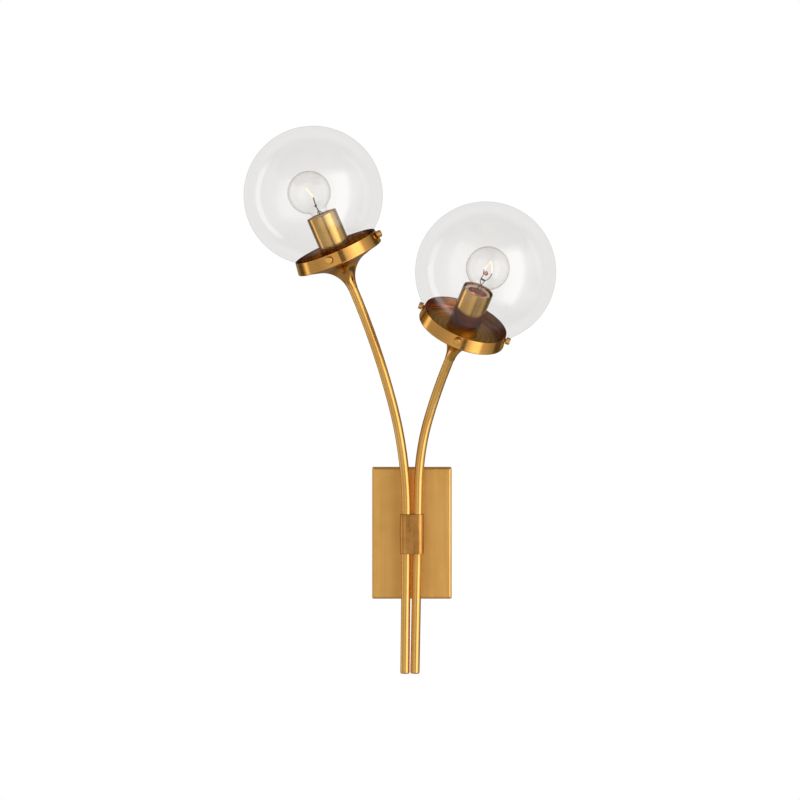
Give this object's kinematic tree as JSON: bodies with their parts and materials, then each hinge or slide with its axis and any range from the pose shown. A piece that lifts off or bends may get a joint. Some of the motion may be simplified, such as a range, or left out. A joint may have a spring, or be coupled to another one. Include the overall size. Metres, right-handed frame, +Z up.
{
  "type": "double arm wall sconce",
  "caption": "Wall light with a rectangular backplate, two bent brass tubes bound by a band, and a clear glass globe in a screwed shade holder on each arm.",
  "frame": {"origin": "centre of the backplate's back face, in the plane of the wall", "axes": "+X to the right as one faces the wall, +Y into the wall, +Z up"},
  "size_m": [0.3144, 0.2005, 0.5595],
  "materials": {
    "brass_plate": "satin antique brass",
    "brass_arm": "satin antique brass",
    "brass_band": "darkened antique brass",
    "brass_bell": "satin antique brass, spun",
    "brass_holder": "satin antique brass, spun",
    "brass_screw": "turned brass",
    "brass_cover": "satin antique brass",
    "brass_fitting": "plain turned brass",
    "steel_strap": "zinc-plated steel",
    "green_screw": "green-dyed steel",
    "porcelain": "glazed porcelain",
    "copper": "copper-coloured shell",
    "lamp_brass": "drawn brass",
    "lamp_black_glass": "black bead",
    "lamp_solder": "tinned",
    "clear_glass": "clear blown glass",
    "lamp_glass": "clear lamp glass",
    "tungsten": "glowing wire",
    "lead_wire": "drawn wire"
  },
  "bodies": {
    "root": {"backplate": "brass_plate", "crossbar": "steel_strap", "crossbar_set_screws": "brass_fitting", "ground_screw": "green_screw", "tube_band": "brass_band", "band_pipe": "steel_strap", "band_spacer": "brass_plate", "lock_washer": "steel_strap", "pipe_nut": "brass_fitting", "left_arm_tube": "brass_arm", "left_end_plug": "brass_arm", "left_bell": "brass_bell", "left_arm_coupling": "brass_fitting", "left_shade_holder": "brass_holder", "left_socket_bracket": "steel_strap", "left_holder_nut": "brass_fitting", "left_socket_cover": "brass_cover", "left_socket_body": "porcelain", "left_socket_shell": "copper", "left_socket_contact": "copper", "right_arm_tube": "brass_arm", "right_end_plug": "brass_arm", "right_bell": "brass_bell", "right_arm_coupling": "brass_fitting", "right_shade_holder": "brass_holder", "right_socket_bracket": "steel_strap", "right_holder_nut": "brass_fitting", "right_socket_cover": "brass_cover", "right_socket_body": "porcelain", "right_socket_shell": "copper", "right_socket_contact": "copper"},
    "left_globe": {"left_globe": "clear_glass", "left_globe_neck": "clear_glass"},
    "left_lamp": {"left_lamp_cap": "lamp_brass", "left_lamp_insulator": "lamp_black_glass", "left_lamp_tip": "lamp_solder", "left_lamp_glass": "lamp_glass", "left_lamp_stem": "lamp_glass", "left_lamp_filament": "tungsten", "left_lamp_leads": "lead_wire"},
    "left_screw_1": {"left_thumb_screw_1": "brass_screw"},
    "left_screw_2": {"left_thumb_screw_2": "brass_screw"},
    "left_screw_3": {"left_thumb_screw_3": "brass_screw"},
    "right_globe": {"right_globe": "clear_glass", "right_globe_neck": "clear_glass"},
    "right_lamp": {"right_lamp_cap": "lamp_brass", "right_lamp_insulator": "lamp_black_glass", "right_lamp_tip": "lamp_solder", "right_lamp_glass": "lamp_glass", "right_lamp_stem": "lamp_glass", "right_lamp_filament": "tungsten", "right_lamp_leads": "lead_wire"},
    "right_screw_1": {"right_thumb_screw_1": "brass_screw"},
    "right_screw_2": {"right_thumb_screw_2": "brass_screw"},
    "right_screw_3": {"right_thumb_screw_3": "brass_screw"}
  },
  "joints": [
    {"name": "left_globe_lift", "type": "slide", "parent": "root", "child": "left_globe", "axis": [-0.3872, -0.1849, 0.9033], "range_m": [0, 0.1]},
    {"name": "left_lamp_pull", "type": "slide", "parent": "root", "child": "left_lamp", "axis": [-0.3872, -0.1849, 0.9033], "range_m": [0, 0.026]},
    {"name": "left_screw_1_back_off", "type": "slide", "parent": "root", "child": "left_screw_1", "axis": [-0.1453, -0.9552, -0.2578], "range_m": [0, 0.002]},
    {"name": "left_screw_2_back_off", "type": "slide", "parent": "root", "child": "left_screw_2", "axis": [0.9105, -0.2311, 0.3429], "range_m": [0, 0.002]},
    {"name": "left_screw_3_back_off", "type": "slide", "parent": "root", "child": "left_screw_3", "axis": [0.1453, 0.9552, 0.2578], "range_m": [0, 0.002]},
    {"name": "right_globe_lift", "type": "slide", "parent": "root", "child": "right_globe", "axis": [0.3394, -0.441, 0.8309], "range_m": [0, 0.1]},
    {"name": "right_lamp_pull", "type": "slide", "parent": "root", "child": "right_lamp", "axis": [0.3394, -0.441, 0.8309], "range_m": [0, 0.026]},
    {"name": "right_screw_1_back_off", "type": "slide", "parent": "root", "child": "right_screw_1", "axis": [-0.9258, 0, 0.3781], "range_m": [0, 0.002]},
    {"name": "right_screw_2_back_off", "type": "slide", "parent": "root", "child": "right_screw_2", "axis": [-0.1667, -0.8975, -0.4083], "range_m": [0, 0.002]},
    {"name": "right_screw_3_back_off", "type": "slide", "parent": "root", "child": "right_screw_3", "axis": [0.9258, 0, -0.3781], "range_m": [0, 0.002]}
  ]
}
